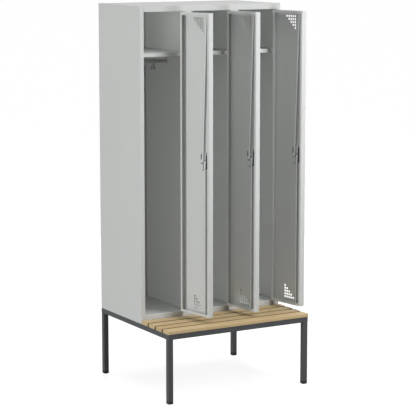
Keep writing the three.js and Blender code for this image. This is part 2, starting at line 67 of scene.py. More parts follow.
def makeCamera():
    camera = bpy.data.objects.new("camera", bpy.data.cameras.new("camera"))
    bpy.context.collection.objects.link(camera)
    camera.data.sensor_width = shot["sensorWidth"]
    camera.data.lens = shot["focal"] / shot["frame"] * camera.data.sensor_width
    camera.data.clip_end = shot["farthest"]
    turn, down = math.radians(shot["azimuth"]), math.radians(shot["down"])
    back = Vector((math.sin(turn) * math.cos(down), -math.cos(turn) * math.cos(down), math.sin(down)))
    camera.location = place(shot["x"], shot["y"], shot["z"])
    camera.rotation_mode = "QUATERNION"
    camera.rotation_quaternion = (-back).to_track_quat("-Z", "Y")
    bpy.context.scene.camera = camera


makeCamera()
print("camera placed")

# small wiring helpers for the materials


def wire(tree, source, target):
    tree.links.new(source, target)


def feed(tree, socket, value):  # a number, a colour or another node's output
    if isinstance(value, bpy.types.NodeSocket):
        wire(tree, value, socket)
    else:
        socket.default_value = value


def addNode(tree, kind, **settings):
    node = tree.nodes.new(kind)
    for key, value in settings.items():
        setattr(node, key, value)
    return node


def math2(tree, operation, a, b=None, clamp=False):
    node = addNode(tree, "ShaderNodeMath", operation=operation, use_clamp=clamp)
    feed(tree, node.inputs[0], a)
    if b is not None:
        feed(tree, node.inputs[1], b)
    return node.outputs[0]


def plus(tree, a, b, clamp=False):
    return math2(tree, "ADD", a, b, clamp)


def minus(tree, a, b):
    return math2(tree, "SUBTRACT", a, b)


def times(tree, a, b, clamp=False):
    return math2(tree, "MULTIPLY", a, b, clamp)


def remap(tree, value, source, target=(0.0, 1.0)):
    node = addNode(tree, "ShaderNodeMapRange")
    wire(tree, value, node.inputs["Value"])
    for name, number in zip(("From Min", "From Max", "To Min", "To Max"), (*source, *target)):
        node.inputs[name].default_value = number
    return node.outputs["Result"]


def blendColors(tree, share, first, second):
    node = addNode(tree, "ShaderNodeMix", data_type="RGBA")
    for socket, value in ((node.inputs[0], share), (node.inputs[6], first), (node.inputs[7], second)):
        feed(tree, socket, value)
    return node.outputs[2]


def noise(tree, coordinates, scale, detail=2.0, roughness=0.5):
    node = addNode(tree, "ShaderNodeTexNoise")
    for name, value in (("Vector", coordinates), ("Scale", scale), ("Detail", detail),
                        ("Roughness", roughness)):
        feed(tree, node.inputs[name], value)
    return node.outputs["Fac"]


def streaks(tree, coordinates, stretch, detail=2.0, roughness=0.5):
    node = addNode(tree, "ShaderNodeMapping")
    node.inputs["Scale"].default_value = stretch
    wire(tree, coordinates, node.inputs["Vector"])
    return noise(tree, node.outputs["Vector"], 1.0, detail, roughness)


def scaledColor(tree, color, gain):
    node = addNode(tree, "ShaderNodeVectorMath", operation="SCALE")
    wire(tree, color, node.inputs[0])
    wire(tree, gain, node.inputs["Scale"])
    return node.outputs[0]


def objectSpot(tree):
    return addNode(tree, "ShaderNodeTexCoord").outputs["Object"]


def separate(tree, vector):
    node = addNode(tree, "ShaderNodeSeparateXYZ")
    wire(tree, vector, node.inputs[0])
    return node.outputs


def surfaceNormal(tree, kind="Normal"):
    return addNode(tree, "ShaderNodeNewGeometry").outputs[kind]


colorSocket, numberSocket, vectorSocket = "NodeSocketColor", "NodeSocketFloat", "NodeSocketVector"
surfaceOutputs = [("Color", colorSocket), ("Roughness", numberSocket), ("Height", numberSocket)]
noiseMiddle = 0.5  # noise swings about it


def newGroup(name, inputs, outputs):
    group = bpy.data.node_groups.new(name, "ShaderNodeTree")
    for label, kind, value in inputs:
        socket = group.interface.new_socket(name=label, in_out="INPUT", socket_type=kind)
        socket.default_value = value
    for label, kind in outputs:
        group.interface.new_socket(name=label, in_out="OUTPUT", socket_type=kind)
    source = group.nodes.new("NodeGroupInput")
    result = group.nodes.new("NodeGroupOutput")
    return group, source.outputs, result.inputs


# powder coat: cloudy tone, fine orange peel, and a film of dust in uneven drifts on what faces up
coat = {"cloudScale": 3.1, "cloudDetail": 3.0, "cloudShare": 0.7, "patchScale": 21.0, "patchShare": 0.3,
        "facingUp": (0.4, 1.0), "driftScale": 9.0, "driftDetail": 6.0, "driftRoughness": 0.6,
        "driftFrom": (0.35, 0.7), "driftTo": (0.25, 1.0), "patchRoughness": 0.12, "dustRoughness": 0.3,
        "peelDetail": 1.5}


def makePowderCoat():
    group, given, result = newGroup("powderCoat", [
        ("Paint", colorSocket, (0.5, 0.5, 0.5, 1)), ("Cloudiness", numberSocket, 0.05),
        ("Gloss Roughness", numberSocket, 0.45), ("Peel Scale", numberSocket, 700.0),
        ("Dust", numberSocket, 0.1), ("Dust Color", colorSocket, (0.6, 0.58, 0.55, 1)),
    ], surfaceOutputs)
    spot = objectSpot(group)
    clouds = noise(group, spot, coat["cloudScale"], coat["cloudDetail"])
    patches = noise(group, spot, coat["patchScale"])
    tone = plus(group, times(group, clouds, coat["cloudShare"]), times(group, patches, coat["patchShare"]))
    lighter = times(group, minus(group, tone, noiseMiddle), given["Cloudiness"])
    shade = scaledColor(group, given["Paint"], plus(group, lighter, 1.0))
    flat = remap(group, separate(group, surfaceNormal(group))["Z"], coat["facingUp"])
    drift = noise(group, spot, coat["driftScale"], coat["driftDetail"], coat["driftRoughness"])
    drift = remap(group, drift, coat["driftFrom"], coat["driftTo"])
    film = times(group, times(group, flat, drift), given["Dust"], clamp=True)
    wire(group, blendColors(group, film, shade, given["Dust Color"]), result["Color"])
    wander = times(group, minus(group, patches, noiseMiddle), coat["patchRoughness"])
    rough = plus(group, given["Gloss Roughness"], wander)
    rough = plus(group, rough, times(group, film, coat["dustRoughness"]), clamp=True)
    wire(group, rough, result["Roughness"])
    wire(group, noise(group, spot, given["Peel Scale"], coat["peelDetail"]), result["Height"])
    return group


# wood: growth rings round a pith beside the slat, swaying along the length, with long pores, slow
# changes of tone, and painted shade darkening the sides that face a gap
wood = {"swayStretch": (1.6, 9.0, 9.0), "sway": 9.0, "ringsPerMetre": 230.0, "lateSharpness": 3.0,
        "poreStretch": (9.0, 700.0, 700.0), "poreDetail": 3.0, "poreRoughness": 0.6,
        "poreFrom": (0.46, 0.7), "poreShare": 0.35,
        "toneStretch": (1.1, 7.0, 7.0), "toneFrom": (0.3, 0.75), "toneTo": (0.0, 0.35),
        "facingSideways": (0.35, 0.85), "roughness": (0.42, 0.6), "ringDepth": 0.3}


def makeWoodGrain():
    group, given, result = newGroup("woodGrain", [
        ("Early Wood", colorSocket, (0.7, 0.5, 0.3, 1)), ("Late Wood", colorSocket, (0.5, 0.3, 0.15, 1)),
        ("Shift", vectorSocket, (0, 0, 0)), ("Ring Strength", numberSocket, 0.5),
        ("Painted Gap Shade", numberSocket, 0.0), ("Gap Shade Color", colorSocket, (0.1, 0.08, 0.05, 1)),
    ], surfaceOutputs)
    moved = addNode(group, "ShaderNodeVectorMath", operation="ADD")
    wire(group, objectSpot(group), moved.inputs[0])
    wire(group, given["Shift"], moved.inputs[1])
    lane = moved.outputs[0]
    sway = streaks(group, lane, wood["swayStretch"])
    split = separate(group, lane)
    squares = [math2(group, "POWER", split[axis], 2.0) for axis in ("Y", "Z")]
    reach = math2(group, "SQRT", plus(group, *squares))
    rings = plus(group, times(group, reach, wood["ringsPerMetre"]), times(group, sway, wood["sway"]))
    late = math2(group, "POWER", math2(group, "FRACT", rings), wood["lateSharpness"])
    pores = streaks(group, lane, wood["poreStretch"], wood["poreDetail"], wood["poreRoughness"])
    tone = streaks(group, lane, wood["toneStretch"])
    ringShare = times(group, late, given["Ring Strength"])
    poreShare = times(group, remap(group, pores, wood["poreFrom"]), wood["poreShare"])
    toneShare = remap(group, tone, wood["toneFrom"], wood["toneTo"])
    share = plus(group, plus(group, ringShare, poreShare), toneShare, clamp=True)
    # painted shade: faces turned sideways, towards a gap, are darkened to the gap colour
    sideFacing = math2(group, "ABSOLUTE", separate(group, surfaceNormal(group))["Y"])
    gapShadeShare = times(group, remap(group, sideFacing, wood["facingSideways"]), given["Painted Gap Shade"])
    grain = blendColors(group, share, given["Early Wood"], given["Late Wood"])
    wire(group, blendColors(group, gapShadeShare, grain, given["Gap Shade Color"]), result["Color"])
    wire(group, remap(group, share, (0.0, 1.0), wood["roughness"]), result["Roughness"])
    sunk = plus(group, poreShare, times(group, late, wood["ringDepth"]))
    wire(group, minus(group, 1.0, sunk), result["Height"])
    return group


# zinc plating: crystals of slightly different grey with fine drawing lines
zinc = {"lineStretch": (900.0, 900.0, 25.0), "crystalRoughness": 0.5, "lineRoughness": 0.08}


def makeZincSpangle():
    group, given, result = newGroup("zincSpangle", [
        ("Metal", colorSocket, (0.6, 0.6, 0.6, 1)), ("Crystal Scale", numberSocket, 160.0),
        ("Contrast", numberSocket, 0.25), ("Base Roughness", numberSocket, 0.35),
    ], surfaceOutputs)
    spot = objectSpot(group)
    crystal = addNode(group, "ShaderNodeTexVoronoi")
    wire(group, spot, crystal.inputs["Vector"])
    wire(group, given["Crystal Scale"], crystal.inputs["Scale"])
    grey = addNode(group, "ShaderNodeSeparateColor")
    wire(group, crystal.outputs["Color"], grey.inputs[0])
    swing = times(group, minus(group, grey.outputs["Red"], noiseMiddle), given["Contrast"])
    wire(group, scaledColor(group, given["Metal"], plus(group, swing, 1.0)), result["Color"])
    lines = streaks(group, spot, zinc["lineStretch"])
    rough = plus(group, given["Base Roughness"], times(group, swing, zinc["crystalRoughness"]))
    rough = plus(group, rough, times(group, lines, zinc["lineRoughness"]), clamp=True)
    wire(group, rough, result["Roughness"])
    wire(group, lines, result["Height"])
    return group


# moulded plastic and rubber: spark-eroded grain with faint flow marks
mould = {"grainDetail": 3.0, "flowStretch": (60.0, 60.0, 20.0), "flowFrom": (0.3, 0.7),
         "flowTo": (0.88, 1.15), "flowRoughness": 0.1}


def makeMouldGrain():
    group, given, result = newGroup("mouldGrain", [
        ("Plastic", colorSocket, (0.02, 0.02, 0.02, 1)), ("Grain Scale", numberSocket, 1400.0),
        ("Base Roughness", numberSocket, 0.55),
    ], surfaceOutputs)
    spot = objectSpot(group)
    flow = streaks(group, spot, mould["flowStretch"])
    gain = remap(group, flow, mould["flowFrom"], mould["flowTo"])
    wire(group, scaledColor(group, given["Plastic"], gain), result["Color"])
    rough = plus(group, given["Base Roughness"], times(group, flow, mould["flowRoughness"]), clamp=True)
    wire(group, rough, result["Roughness"])
    wire(group, noise(group, spot, given["Grain Scale"], mould["grainDetail"]), result["Height"])
    return group


# edges: where a rounded normal turns away from the face's own, the finish takes the edge colour: a lighter
# one is rubbed wear, the dark one on bright zinc is painted shade
edgeWearAndShadeSettings = {"samples": 4, "turn": (0.99, 0.82), "patchScale": 34.0, "patchDetail": 4.0, "patchRoughness": 0.6,
       "patchFrom": (0.35, 0.65)}


def makeEdgeWearAndShade():
    group, given, result = newGroup("edgeWearAndShade", [
        ("Width", numberSocket, 0.0015), ("Strength", numberSocket, 0.5), ("Patchiness", numberSocket, 0.4),
    ], [("Mask", numberSocket)])
    rounded = addNode(group, "ShaderNodeBevel", samples=edgeWearAndShadeSettings["samples"])
    wire(group, given["Width"], rounded.inputs["Radius"])
    match = addNode(group, "ShaderNodeVectorMath", operation="DOT_PRODUCT")
    wire(group, rounded.outputs["Normal"], match.inputs[0])
    wire(group, surfaceNormal(group, "True Normal"), match.inputs[1])
    corner = remap(group, match.outputs["Value"], edgeWearAndShadeSettings["turn"])
    patches = noise(group, objectSpot(group), edgeWearAndShadeSettings["patchScale"], edgeWearAndShadeSettings["patchDetail"], edgeWearAndShadeSettings["patchRoughness"])
    patches = remap(group, patches, edgeWearAndShadeSettings["patchFrom"])
    kept = minus(group, 1.0, times(group, given["Patchiness"], patches))
    wire(group, times(group, times(group, corner, kept), given["Strength"], clamp=True), result["Mask"])
    return group


powderCoat = makePowderCoat()
edgeWearAndShade = makeEdgeWearAndShade()
woodGrain = makeWoodGrain()
zincSpangle = makeZincSpangle()
mouldGrain = makeMouldGrain()

# lengths in metres, scales per metre
finishes = {
    "lockerPaint": {
        "group": powderCoat, "metallic": 0.0, "specular": 0.4, "bump": 0.04, "bumpDistance": 0.0004,
        "edge": {"Width": 0.0012, "Strength": 0.3, "Patchiness": 0.5}, "edgeColor": linear(224, 225, 223),
        "values": {"Paint": linear(199, 201, 199.2), "Cloudiness": 0.05, "Gloss Roughness": 0.42,
                   "Peel Scale": 650.0, "Dust": 0.12, "Dust Color": linear(190, 187, 180)}},
    "framePaint": {
        "group": powderCoat, "metallic": 0.0, "specular": 0.45, "bump": 0.12, "bumpDistance": 0.0004,
        "edge": {"Width": 0.0015, "Strength": 0.45, "Patchiness": 0.6}, "edgeColor": linear(104, 106, 108),
        "values": {"Paint": linear(74, 76, 78), "Cloudiness": 0.12, "Gloss Roughness": 0.5,
                   "Peel Scale": 900.0, "Dust": 0.1, "Dust Color": linear(120, 118, 114)}},
    "brightZinc": {
        "group": zincSpangle, "metallic": 0.3, "specular": 0.5, "bump": 0.03, "bumpDistance": 0.0002,
        # painted shade: the dark edge colour, at full strength over 4.5 mm, darkens the edges of every bright
        # zinc part, the locking bars most of all, in place of the shadow lines beside them
        "edge": {"Width": 0.0045, "Strength": 1.0, "Patchiness": 0.1}, "edgeColor": linear(66, 67, 67),
        "values": {"Metal": linear(205, 207, 206), "Crystal Scale": 150.0, "Contrast": 0.14,
                   "Base Roughness": 0.48}},
    "hookZinc": {
        "group": zincSpangle, "metallic": 0.2, "specular": 0.5, "bump": 0.03, "bumpDistance": 0.0002,
        "edge": {"Width": 0.001, "Strength": 0.3, "Patchiness": 0.4}, "edgeColor": linear(212, 213, 212),
        "values": {"Metal": linear(188, 190, 188), "Crystal Scale": 220.0, "Contrast": 0.14,
                   "Base Roughness": 0.5}},
    "darkSteel": {
        "group": zincSpangle, "metallic": 0.8, "specular": 0.5, "bump": 0.05, "bumpDistance": 0.0002,
        "edge": {"Width": 0.001, "Strength": 0.4, "Patchiness": 0.4}, "edgeColor": linear(120, 121, 122),
        "values": {"Metal": linear(70, 71, 72), "Crystal Scale": 400.0, "Contrast": 0.3,
                   "Base Roughness": 0.45}},
    "handlePlastic": {
        "group": mouldGrain, "metallic": 0.0, "specular": 0.4, "bump": 0.25, "bumpDistance": 0.0003,
        "edge": {"Width": 0.001, "Strength": 0.35, "Patchiness": 0.5}, "edgeColor": linear(78, 80, 82),
        "values": {"Plastic": linear(40, 42, 44), "Grain Scale": 1500.0, "Base Roughness": 0.5}},
    "footPlastic": {
        "group": mouldGrain, "metallic": 0.0, "specular": 0.35, "bump": 0.2, "bumpDistance": 0.0003,
        "edge": {"Width": 0.0015, "Strength": 0.35, "Patchiness": 0.5}, "edgeColor": linear(84, 85, 87),
        "values": {"Plastic": linear(46, 47, 49), "Grain Scale": 1100.0, "Base Roughness": 0.58}},
    "bufferRubber": {
        "group": mouldGrain, "metallic": 0.0, "specular": 0.25, "bump": 0.3, "bumpDistance": 0.0003,
        "edge": {"Width": 0.001, "Strength": 0.3, "Patchiness": 0.5}, "edgeColor": linear(62, 62, 63),
        "values": {"Plastic": linear(30, 30, 31), "Grain Scale": 900.0, "Base Roughness": 0.8}},
}


def makeMaterial(name, finish):
    material = bpy.data.materials.new(name)
    material.use_nodes = True
    tree = material.node_tree
    surface = tree.nodes["Principled BSDF"]
    effect = addNode(tree, "ShaderNodeGroup", node_tree=finish["group"])
    for label, value in finish["values"].items():
        effect.inputs[label].default_value = value
    edges = addNode(tree, "ShaderNodeGroup", node_tree=edgeWearAndShade)
    for label, value in finish["edge"].items():
        edges.inputs[label].default_value = value
    # edge colour blended in: rubbed wear where it is lighter, painted shade where it is dark
    edgeWornAndShaded = blendColors(tree, edges.outputs["Mask"], effect.outputs["Color"], finish["edgeColor"])
    wire(tree, edgeWornAndShaded, surface.inputs["Base Color"])
    wire(tree, effect.outputs["Roughness"], surface.inputs["Roughness"])
    surface.inputs["Metallic"].default_value = finish["metallic"]
    surface.inputs["Specular IOR Level"].default_value = finish["specular"]
    bump = addNode(tree, "ShaderNodeBump")
    bump.inputs["Strength"].default_value = finish["bump"]
    bump.inputs["Distance"].default_value = finish["bumpDistance"]
    wire(tree, effect.outputs["Height"], bump.inputs["Height"])
    wire(tree, bump.outputs["Normal"], surface.inputs["Normal"])
    return material


materials = {name: makeMaterial(name, finish) for name, finish in finishes.items()}

# each slat is cut from its own board: the shift puts the pith beside or under it, in metres
slatBoards = {
    "early": linear(206, 184, 142), "late": linear(172, 143, 101), "ringStrength": 0.42,
    "edge": {"Width": 0.002, "Strength": 0.5, "Patchiness": 0.4}, "edgeColor": linear(214, 194, 156),
    "specular": 0.35, "bump": 0.18, "bumpDistance": 0.0004,
    # painted shade: the inner slats' sides that face a gap are darkened, where the gaps fall in shade
    "paintedGapShade": {"slat_1": 0.0, "slat_2": 0.75, "slat_3": 0.75, "slat_4": 0.75},
    "gapShadeColor": linear(92, 76, 52),
    "pith": {"slat_1": (0.0, 0.045, 0.075), "slat_2": (1.7, -0.11, 0.04),
             "slat_3": (3.1, 0.02, -0.09), "slat_4": (4.6, 0.09, 0.05)},
}


def slatMaterial(node):
    low, high = (Vector(corner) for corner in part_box(node))
    middle = (low + high) / 2
    pith = Vector(slatBoards["pith"][node])
    look = {key: slatBoards[key] for key in ("edge", "edgeColor", "specular", "bump", "bumpDistance")}
    return makeMaterial("beech_" + node, {
        "group": woodGrain, "metallic": 0.0, **look,
        "values": {"Early Wood": slatBoards["early"], "Late Wood": slatBoards["late"],
                   "Shift": Vector((pith.x, pith.y - middle.y, pith.z - middle.z)),
                   "Ring Strength": slatBoards["ringStrength"], "Gap Shade Color": slatBoards["gapShadeColor"],
                   "Painted Gap Shade": slatBoards["paintedGapShade"][node]}})


def finishOf(node):
    if node.startswith("slat_"):
        return slatMaterial(node)
    if node.startswith("foot_glide"):
        return materials["footPlastic"]
    if node.startswith("side_frame") or node.endswith("_rail"):
        return materials["framePaint"]
    if node.startswith("turn_handle"):
        return materials["handlePlastic"]
    if node.startswith("coat_"):
        return materials["hookZinc"]
    if node.startswith(("lock_", "upper_bar", "lower_bar", "hinge_pin")):
        return materials["brightZinc"]
    return materials["lockerPaint"]


for name, piece in nodes.items():
    wanted = finishOf(name)
    for slot in piece.material_slots:
        slot.material = wanted
print("materials assigned")

# the doors stand open: a point of a closed leaf is turned about its hinge axis
openAngle = math.radians(100)
hingeAxes = {joint["child"]: Vector(joint["pos_m"]) for joint in frame["record"]["behaviour"]["joints"]
             if joint["name"].startswith("door_hinge")}
leaf = {"hingeGap": 2.5, "axisInset": 1, "axisForward": 3, "bottom": 440, "top": 2109, "sheet": 1}


def doorTurn(number):
    axis = hingeAxes["door_%d" % number]
    return Matrix.Translation((axis.x, axis.y, 0)) @ Matrix.Rotation(openAngle, 4, "Z")


def onDoor(number, fromHinge, inward, height):
    closed = Vector((leaf["axisInset"] - leaf["hingeGap"] - fromHinge, leaf["axisForward"] + inward, height))
    return doorTurn(number) @ (closed / 1000)


def doorSide(number, inward):  # the open leaf's inner side is 1, its outer side -1
    return doorTurn(number).to_3x3() @ Vector((0, inward, 0))


# mesh helpers: loops with the same number of corners are joined, each to the next


def bridge(shape, loops):
    for first, second in zip(loops, loops[1:]):
        for side in range(len(first)):
            following = (side + 1) % len(first)
            shape.faces.new((first[side], first[following], second[following], second[side]))


def bridgeAndClose(shape, loops):
    bridge(shape, loops)
    shape.faces.new(reversed(loops[0]))
    shape.faces.new(loops[-1])


def circle(steps):
    return [2 * math.pi * step / steps for step in range(steps)]


def addRings(shape, rings, matrix, segments):  # a ring is (radius or radius by angle, height)
    loops = []
    for radius, height in rings:
        loop = []
        for angle in circle(segments):
            reach = radius(angle) if callable(radius) else radius
            spot = Vector((reach * math.cos(angle), reach * math.sin(angle), height)) / 1000
            loop.append(shape.verts.new(matrix @ spot))
        loops.append(loop)
    bridgeAndClose(shape, loops)


def facing(point, direction, spin=0.0):
    turn = Vector(direction).to_track_quat("Z", "Y").to_matrix().to_4x4()
    return Matrix.Translation(point) @ turn @ Matrix.Rotation(spin, 4, "Z")


def finishPiece(name, shape, material, body, smooth=35):
    bmesh.ops.recalc_face_normals(shape, faces=shape.faces)
    mesh = bpy.data.meshes.new(name)
    shape.to_mesh(mesh)
    shape.free()
    mesh.materials.append(materials[material])
    for face in mesh.polygons:
        face.use_smooth = True
    piece = bpy.data.objects.new(name, mesh)
    bpy.context.collection.objects.link(piece)
    mesh.set_sharp_from_angle(angle=math.radians(smooth))
    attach(piece, body)


def scatter(name, rings, places, material, body, segments=24, smooth=35):
    shape = bmesh.new()
    for matrix in places:
        addRings(shape, rings, matrix, segments)
    finishPiece(name, shape, material, body, smooth)


# heads of screws and rivets: profiles in shares of the radius and of the height
heads = {"pan": ((0.96, 0.0), (1.0, 0.25), (0.93, 0.62), (0.72, 0.92)),
         "recess": ((1.12, 1.0), (1.0, 0.95), (0.9, 0.35)), "recessShare": 0.48,
         "starPoints": 6, "starDepth": 0.18,
         "dome": ((1.0, 0.0), (0.97, 0.35), (0.82, 0.72), (0.55, 0.94)), "domeFlat": 0.25}


def profile(radius, height, shares):
    return [(radius * across, height * up) for across, up in shares]


def star(radius):
    return lambda angle: radius * (1 + heads["starDepth"] * math.cos(heads["starPoints"] * angle))


def hexagon(acrossFlats):
    def reach(angle):
        wedge = (angle + math.pi / 6) % (math.pi / 3) - math.pi / 6
        return acrossFlats / 2 / math.cos(wedge)
    return reach


def panHead(radius, height):
    recess = profile(radius * heads["recessShare"], height, heads["recess"])
    return profile(radius, height, heads["pan"]) + [(star(across), up) for across, up in recess]


def domeHead(radius, height, flatShare=heads["domeFlat"]):
    return profile(radius, height, heads["dome"]) + [(radius * flatShare, height)]


# lock plates: two dark pan-head screws, each turned its own way
lockAxis = {"fromHinge": 179.0, "height": 1300.0}
lockScrews = {"radius": 4.4, "height": 2.6, "plateFace": 3.3, "spots": ((194.0, 1346.0), (167.0, 1254.0)),
              "turnPerDoor": 0.3}

# a spring clip keeps each bar on its crank pin
clips = {"outer": 5.0, "inner": 3.06, "floor": 13.0, "thickness": 0.8, "crank": 9.192, "gapAngle": 0.9,
         "steps": 22, "spin": 0.8}

# dark strips round the lock, blackened flat steel on edge, clear of the crank arm and the bars: painted
# shade, dark pieces standing for the shadow round the lock plate and cam
shadeStripLayout = {"thickness": 1.2, "strips": (
    {"line": ((203.4, 1340), (207.8, 1332), (207.8, 1267), (203.4, 1259)), "floor": 1.3, "top": 18.0},
    {"line": ((149.4, 1339), (149.4, 1308)), "floor": 1.3, "top": 6.2},
    {"line": ((156.0, 1281), (172.0, 1265)), "floor": 4.8, "top": 9.0})}


def clipShape(shape, matrix):
    start, end = clips["gapAngle"] / 2, 2 * math.pi - clips["gapAngle"] / 2
    section = ((clips["inner"], 0), (clips["outer"], 0), (clips["outer"], clips["thickness"]),
               (clips["inner"], clips["thickness"]))
    loops = []
    for step in range(clips["steps"] + 1):
        angle = start + (end - start) * step / clips["steps"]
        spots = [Vector((radius * math.cos(angle), radius * math.sin(angle), height)) / 1000
                 for radius, height in section]
        loops.append([shape.verts.new(matrix @ spot) for spot in spots])
    bridgeAndClose(shape, loops)


def addShadeStrip(shape, number, strip):
    points = [Vector(point) for point in strip["line"]]
    ways = [(later - earlier).normalized() for earlier, later in zip(points, points[1:])]
    loops = []
    for index, point in enumerate(points):
        before, after = ways[max(index - 1, 0)], ways[min(index, len(ways) - 1)]
        across = (before + after).normalized().orthogonal()
        reach = across * shadeStripLayout["thickness"] / 2 / before.orthogonal().dot(across)
        corners = ((point - reach, strip["floor"]), (point + reach, strip["floor"]),
                   (point + reach, strip["top"]), (point - reach, strip["top"]))
        loops.append([shape.verts.new(onDoor(number, spot.x, depth, spot.y)) for spot, depth in corners])
    bridgeAndClose(shape, loops)


def dressLocks():
    for number in doorNumbers:
        inward = doorSide(number, 1)
        spots = [facing(onDoor(number, across, lockScrews["plateFace"], height), inward,
                        lockScrews["turnPerDoor"] * number + height)
                 for across, height in lockScrews["spots"]]
        scatter("lockScrews_%d" % number, panHead(lockScrews["radius"], lockScrews["height"]), spots,
                "darkSteel", "door_%d" % number)
        shape = bmesh.new()
        for side in (-1, 1):
            spot = onDoor(number, lockAxis["fromHinge"] + side * clips["crank"], clips["floor"],
                          lockAxis["height"] + side * clips["crank"])
            clipShape(shape, facing(spot, inward, clips["spin"] + side))
        finishPiece("crankClips_%d" % number, shape, "darkSteel", "lock_%d" % number)
        # painted shade: dark strips round each lock stand in for its shadow on the leaf
        shape = bmesh.new()
        for strip in shadeStripLayout["strips"]:
            addShadeStrip(shape, number, strip)
        finishPiece("lockShadeStrips_%d" % number, shape, "darkSteel", "door_%d" % number)


dressLocks()

# turn handles: a key cylinder let into the grip, with its slot; shares of the radius and of the stand
keyCylinder = {"radius": 4.6, "rim": 5.2, "gripFace": 24.3, "stand": 0.9,
               "slotLength": 5.6, "slotWidth": 1.1, "slotDepth": 0.75,
               "rimShares": ((1.0, 0.0), (1.0, 0.7), (0.96, 1.0)), "faceShares": (0.97, 0.86)}


def keySlot(length, width):
    def reach(angle):
        across, along = abs(math.cos(angle)), abs(math.sin(angle))
        return min(width / 2 / max(across, 1e-6), length / 2 / max(along, 1e-6))
    return reach


def dressHandles():
    face, stand = keyCylinder["radius"], keyCylinder["stand"]
    inset, sunk = face * keyCylinder["faceShares"][0], stand * keyCylinder["faceShares"][1]
    slotEdge = keySlot(keyCylinder["slotLength"], keyCylinder["slotWidth"])
    rings = profile(keyCylinder["rim"], stand, keyCylinder["rimShares"]) + [
        (face, stand), (inset, sunk), (slotEdge, sunk), (slotEdge, stand - keyCylinder["slotDepth"])]
    for number in doorNumbers:
        centre = onDoor(number, lockAxis["fromHinge"], -keyCylinder["gripFace"], lockAxis["height"])
        scatter("keyCylinder_%d" % number, rings, [facing(centre, doorSide(number, -1))], "brightZinc",
                "lock_%d" % number, segments=48)


dressHandles()
print("locks dressed")

# the inner faces of each compartment's walls, and the edges of its door opening
rooms = [(1, 300), (301, 599), (600, 899)]
doorways = {"left": 25, "right": 277, "pitch": 299}
openings = [(doorways["left"] + doorways["pitch"] * step, doorways["right"] + doorways["pitch"] * step)
            for step in range(len(doorNumbers))]

# rubber pads in the rebates, where the closed leaf's free edge comes to rest
pads = {"radius": 4.5, "thickness": 0.75, "fromOpening": 5.5, "rebateFace": 31.0,
        "heights": (560, 1275, 1990), "shares": ((1.0, 0.0), (1.0, 0.6), (0.9, 1.0), (0.3, 1.0))}


def dressRebates():
    spots = [facing(place(opening[0] + pads["fromOpening"], pads["rebateFace"], height), (0, -1, 0))
             for opening in openings for height in pads["heights"]]
    rings = profile(pads["radius"], pads["thickness"], pads["shares"])
    scatter("rebatePads", rings, spots, "bufferRubber", "cabinet")


dressRebates()

# plastic guides round the slots where the locking bars pass the leaf's ends
guides = {"across": 24.0, "deep": 9.6, "thickness": 1.6, "slotAcross": 17.2, "slotDeep": 4.2,
          "barDepth": 11.1, "upperFromHinge": 201.24, "lowerFromHinge": 188.19,
          "rimShares": ((1.0, 0.0), (1.0, 0.6), (0.93, 1.0))}


def guideLoop(shape, matrix, across, deep, height):
    spots = [Vector((across / 2 * a, deep / 2 * b, height)) / 1000
             for a, b in ((-1, -1), (1, -1), (1, 1), (-1, 1))]
    return [shape.verts.new(matrix @ spot) for spot in spots]


def guideShape(shape, matrix):
    across, deep, thickness = guides["across"], guides["deep"], guides["thickness"]
    loops = [guideLoop(shape, matrix, across * width, deep * width, thickness * up)
             for width, up in guides["rimShares"]]
    floor, top = (guideLoop(shape, matrix, guides["slotAcross"], guides["slotDeep"], height)
                  for height in (0, thickness))
    bridge(shape, [floor, *loops, top, floor])


def dressSlots():
    ends = ((guides["upperFromHinge"], leaf["top"] - leaf["sheet"], -1),
            (guides["lowerFromHinge"], leaf["bottom"] + leaf["sheet"], 1))
    for number in doorNumbers:
        shape = bmesh.new()
        for fromHinge, height, direction in ends:
            spot = onDoor(number, fromHinge, guides["barDepth"], height)
            turn = Matrix.Rotation(openAngle, 4, "Z") @ Matrix.Diagonal((1, 1, direction, 1))
            guideShape(shape, Matrix.Translation(spot) @ turn)
        finishPiece("barGuides_%d" % number, shape, "handlePlastic", "door_%d" % number, smooth=20)


dressSlots()
print("rebates and slots dressed")

# underframe: screws up into the slats, each turned its own way
slatScrews = {"radius": 4.6, "height": 2.8, "rails": (15, 450, 885), "under": 360,
              "rows": (-266.0, -200.5, -119.8, -39.0)}


def dressSlatScrews():
    spots = [facing(place(x, y, slatScrews["under"]), (0, 0, -1), x + y) for x in slatScrews["rails"]
             for y in slatScrews["rows"]]
    scatter("slatScrews", panHead(slatScrews["radius"], slatScrews["height"]), spots, "brightZinc", "cabinet")


# weld beads where the tubes meet, rippled and thinner at both ends
tubes = {"side": 30, "top": 390, "left": 0, "right": 900, "front": -310, "rear": 495, "middle": 450}
beads = {"radius": 1.7, "ripple": 2.3, "inset": 3, "topInset": 2, "sides": 8, "endShare": 0.45,
         "swing": 0.16, "swingTurn": 2.4, "drift": 0.06, "driftTurn": 0.9}


def beadLines():
    side, inset = tubes["side"], beads["inset"]
    low, high = tubes["top"] - side, tubes["top"] - beads["topInset"]
    lines = []
    for outside, into in ((tubes["left"], 1), (tubes["right"], -1)):
        x = outside + into * side
        for y, inner in ((tubes["front"], 1), (tubes["rear"], -1)):
            corner = y + inner * side
            lines.append([(x, y + inner * inset, low), (x, corner, low), (x, corner, high)])
            lines.append([(x - into * inset, corner, low), (x - into * (side - inset), corner, low)])
    left, right = tubes["middle"] - side / 2, tubes["middle"] + side / 2
    for y in (tubes["front"] + side, tubes["rear"] - side):
        lines.append([(left, y, high), (left, y, low), (right, y, low), (right, y, high)])
    return lines


